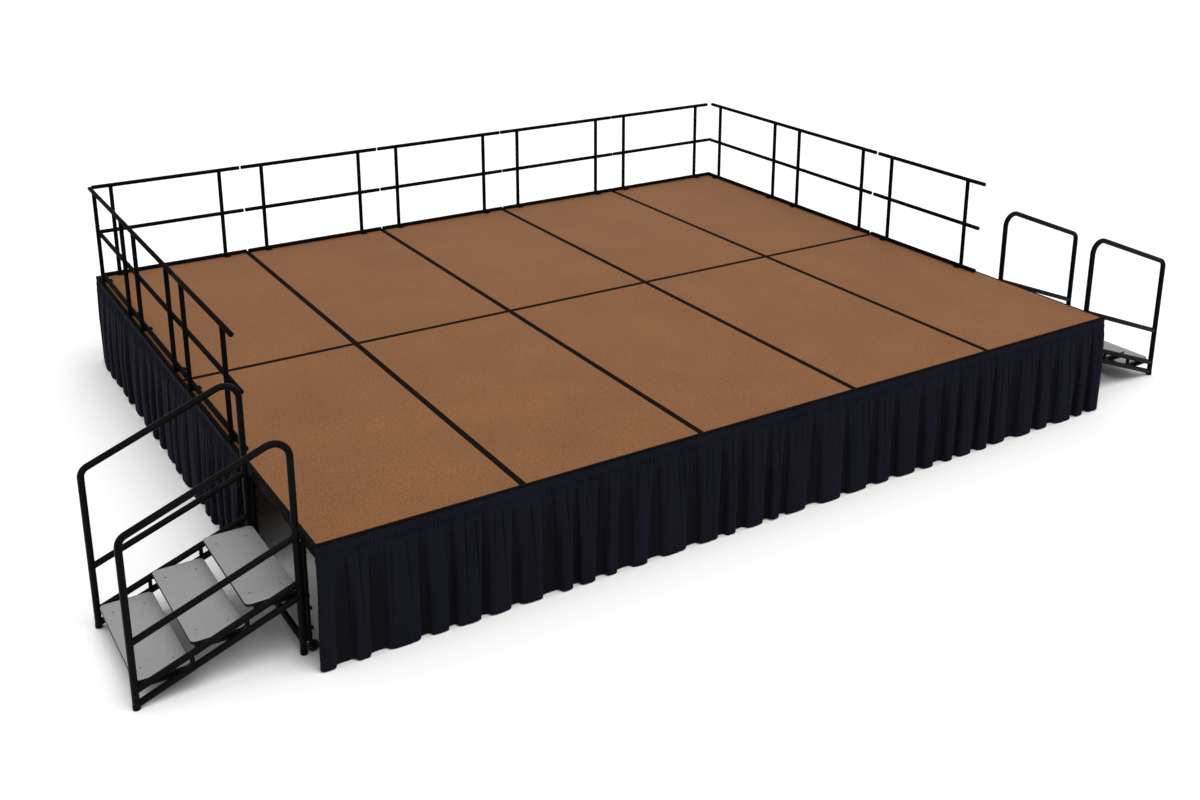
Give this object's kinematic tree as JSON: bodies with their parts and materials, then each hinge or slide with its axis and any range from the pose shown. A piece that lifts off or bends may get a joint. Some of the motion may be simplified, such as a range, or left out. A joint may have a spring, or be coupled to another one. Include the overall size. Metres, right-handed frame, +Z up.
{
  "type": "portable stage",
  "caption": "Portable stage of hardboard deck units on folding leg frames, with black guard rails on the sides and back, a gathered skirt and handrailed stairs at both ends.",
  "frame": {"origin": "on the floor, under the middle of the deck", "axes": "+X along the stage to its right-hand stair, +Y to the back rail, +Z up; the audience is on the -Y side"},
  "size_m": [7.932, 4.9524, 1.4745],
  "materials": {
    "hardboard": "brown hardboard, satin",
    "frame_metal": "black, satin",
    "black_steel": "black powder coat, satin",
    "skirt_cloth": "very dark navy cloth, matte",
    "tread_board": "grey textured, matte",
    "wheel_rubber": "black, matte"
  },
  "bodies": {
    "stage": {"deck_board_front_1": "hardboard", "deck_frame_front_1": "frame_metal", "deck_board_front_2": "hardboard", "deck_frame_front_2": "frame_metal", "deck_board_front_3": "hardboard", "deck_frame_front_3": "frame_metal", "deck_board_front_4": "hardboard", "deck_frame_front_4": "frame_metal", "deck_board_front_5": "hardboard", "deck_frame_front_5": "frame_metal", "deck_board_rear_1": "hardboard", "deck_frame_rear_1": "frame_metal", "deck_board_rear_2": "hardboard", "deck_frame_rear_2": "frame_metal", "deck_board_rear_3": "hardboard", "deck_frame_rear_3": "frame_metal", "deck_board_rear_4": "hardboard", "deck_frame_rear_4": "frame_metal", "deck_board_rear_5": "hardboard", "deck_frame_rear_5": "frame_metal", "guard_rail_back_1": "black_steel", "guard_rail_back_2": "black_steel", "guard_rail_back_3": "black_steel", "guard_rail_back_4": "black_steel", "guard_rail_back_5": "black_steel", "guard_rail_left_long": "black_steel", "guard_rail_left_short": "black_steel", "guard_rail_right_long": "black_steel", "guard_rail_right_short": "black_steel", "skirt_front": "skirt_cloth", "skirt_back": "skirt_cloth", "skirt_left": "skirt_cloth", "skirt_right": "skirt_cloth", "stair_left_frame": "black_steel", "stair_left_tread_1": "tread_board", "stair_left_tread_2": "tread_board", "stair_left_tread_3": "tread_board", "stair_right_frame": "black_steel", "stair_right_tread_1": "tread_board", "stair_right_tread_2": "tread_board", "stair_right_tread_3": "tread_board"},
    "legs_front_1": {"leg_frame_front_1": "black_steel"},
    "legs_front_2": {"leg_frame_front_2": "black_steel"},
    "legs_front_3": {"leg_frame_front_3": "black_steel"},
    "legs_front_4": {"leg_frame_front_4": "black_steel"},
    "legs_front_5": {"leg_frame_front_5": "black_steel"},
    "legs_middle_1": {"leg_frame_middle_1": "black_steel"},
    "legs_middle_2": {"leg_frame_middle_2": "black_steel"},
    "legs_middle_3": {"leg_frame_middle_3": "black_steel"},
    "legs_middle_4": {"leg_frame_middle_4": "black_steel"},
    "legs_middle_5": {"leg_frame_middle_5": "black_steel"},
    "legs_rear_1": {"leg_frame_rear_1": "black_steel"},
    "legs_rear_2": {"leg_frame_rear_2": "black_steel"},
    "legs_rear_3": {"leg_frame_rear_3": "black_steel"},
    "legs_rear_4": {"leg_frame_rear_4": "black_steel"},
    "legs_rear_5": {"leg_frame_rear_5": "black_steel"},
    "wheel_left_front": {"stair_left_wheel_front": "wheel_rubber"},
    "wheel_left_rear": {"stair_left_wheel_rear": "wheel_rubber"},
    "wheel_right_front": {"stair_right_wheel_front": "wheel_rubber"},
    "wheel_right_rear": {"stair_right_wheel_rear": "wheel_rubber"}
  },
  "joints": [
    {"name": "legs_front_1_fold", "type": "hinge", "parent": "stage", "child": "legs_front_1", "pos_m": [-2.4384, -2.3784, 0.64], "axis": [1, 0, 0], "range_deg": [0, 90]},
    {"name": "legs_front_2_fold", "type": "hinge", "parent": "stage", "child": "legs_front_2", "pos_m": [-1.2192, -2.3784, 0.64], "axis": [1, 0, 0], "range_deg": [0, 90]},
    {"name": "legs_front_3_fold", "type": "hinge", "parent": "stage", "child": "legs_front_3", "pos_m": [0, -2.3784, 0.64], "axis": [1, 0, 0], "range_deg": [0, 90]},
    {"name": "legs_front_4_fold", "type": "hinge", "parent": "stage", "child": "legs_front_4", "pos_m": [1.2192, -2.3784, 0.64], "axis": [1, 0, 0], "range_deg": [0, 90]},
    {"name": "legs_front_5_fold", "type": "hinge", "parent": "stage", "child": "legs_front_5", "pos_m": [2.4384, -2.3784, 0.64], "axis": [1, 0, 0], "range_deg": [0, 90]},
    {"name": "legs_middle_1_fold", "type": "hinge", "parent": "stage", "child": "legs_middle_1", "pos_m": [-2.4384, 0.06, 0.64], "axis": [1, 0, 0], "range_deg": [0, 90]},
    {"name": "legs_middle_2_fold", "type": "hinge", "parent": "stage", "child": "legs_middle_2", "pos_m": [-1.2192, 0.06, 0.64], "axis": [1, 0, 0], "range_deg": [0, 90]},
    {"name": "legs_middle_3_fold", "type": "hinge", "parent": "stage", "child": "legs_middle_3", "pos_m": [0, 0.06, 0.64], "axis": [1, 0, 0], "range_deg": [0, 90]},
    {"name": "legs_middle_4_fold", "type": "hinge", "parent": "stage", "child": "legs_middle_4", "pos_m": [1.2192, 0.06, 0.64], "axis": [1, 0, 0], "range_deg": [0, 90]},
    {"name": "legs_middle_5_fold", "type": "hinge", "parent": "stage", "child": "legs_middle_5", "pos_m": [2.4384, 0.06, 0.64], "axis": [1, 0, 0], "range_deg": [0, 90]},
    {"name": "legs_rear_1_fold", "type": "hinge", "parent": "stage", "child": "legs_rear_1", "pos_m": [-2.4384, 2.3784, 0.64], "axis": [-1, 0, 0], "range_deg": [0, 90]},
    {"name": "legs_rear_2_fold", "type": "hinge", "parent": "stage", "child": "legs_rear_2", "pos_m": [-1.2192, 2.3784, 0.64], "axis": [-1, 0, 0], "range_deg": [0, 90]},
    {"name": "legs_rear_3_fold", "type": "hinge", "parent": "stage", "child": "legs_rear_3", "pos_m": [0, 2.3784, 0.64], "axis": [-1, 0, 0], "range_deg": [0, 90]},
    {"name": "legs_rear_4_fold", "type": "hinge", "parent": "stage", "child": "legs_rear_4", "pos_m": [1.2192, 2.3784, 0.64], "axis": [-1, 0, 0], "range_deg": [0, 90]},
    {"name": "legs_rear_5_fold", "type": "hinge", "parent": "stage", "child": "legs_rear_5", "pos_m": [2.4384, 2.3784, 0.64], "axis": [-1, 0, 0], "range_deg": [0, 90]},
    {"name": "wheel_left_front_spin", "type": "hinge", "parent": "stage", "child": "wheel_left_front", "pos_m": [-3.025, -2.255, 0.0345], "axis": [0, 1, 0], "continuous": true},
    {"name": "wheel_left_rear_spin", "type": "hinge", "parent": "stage", "child": "wheel_left_rear", "pos_m": [-3.025, -1.425, 0.0345], "axis": [0, 1, 0], "continuous": true},
    {"name": "wheel_right_front_spin", "type": "hinge", "parent": "stage", "child": "wheel_right_front", "pos_m": [3.025, -2.255, 0.0345], "axis": [0, 1, 0], "continuous": true},
    {"name": "wheel_right_rear_spin", "type": "hinge", "parent": "stage", "child": "wheel_right_rear", "pos_m": [3.025, -1.425, 0.0345], "axis": [0, 1, 0], "continuous": true}
  ]
}
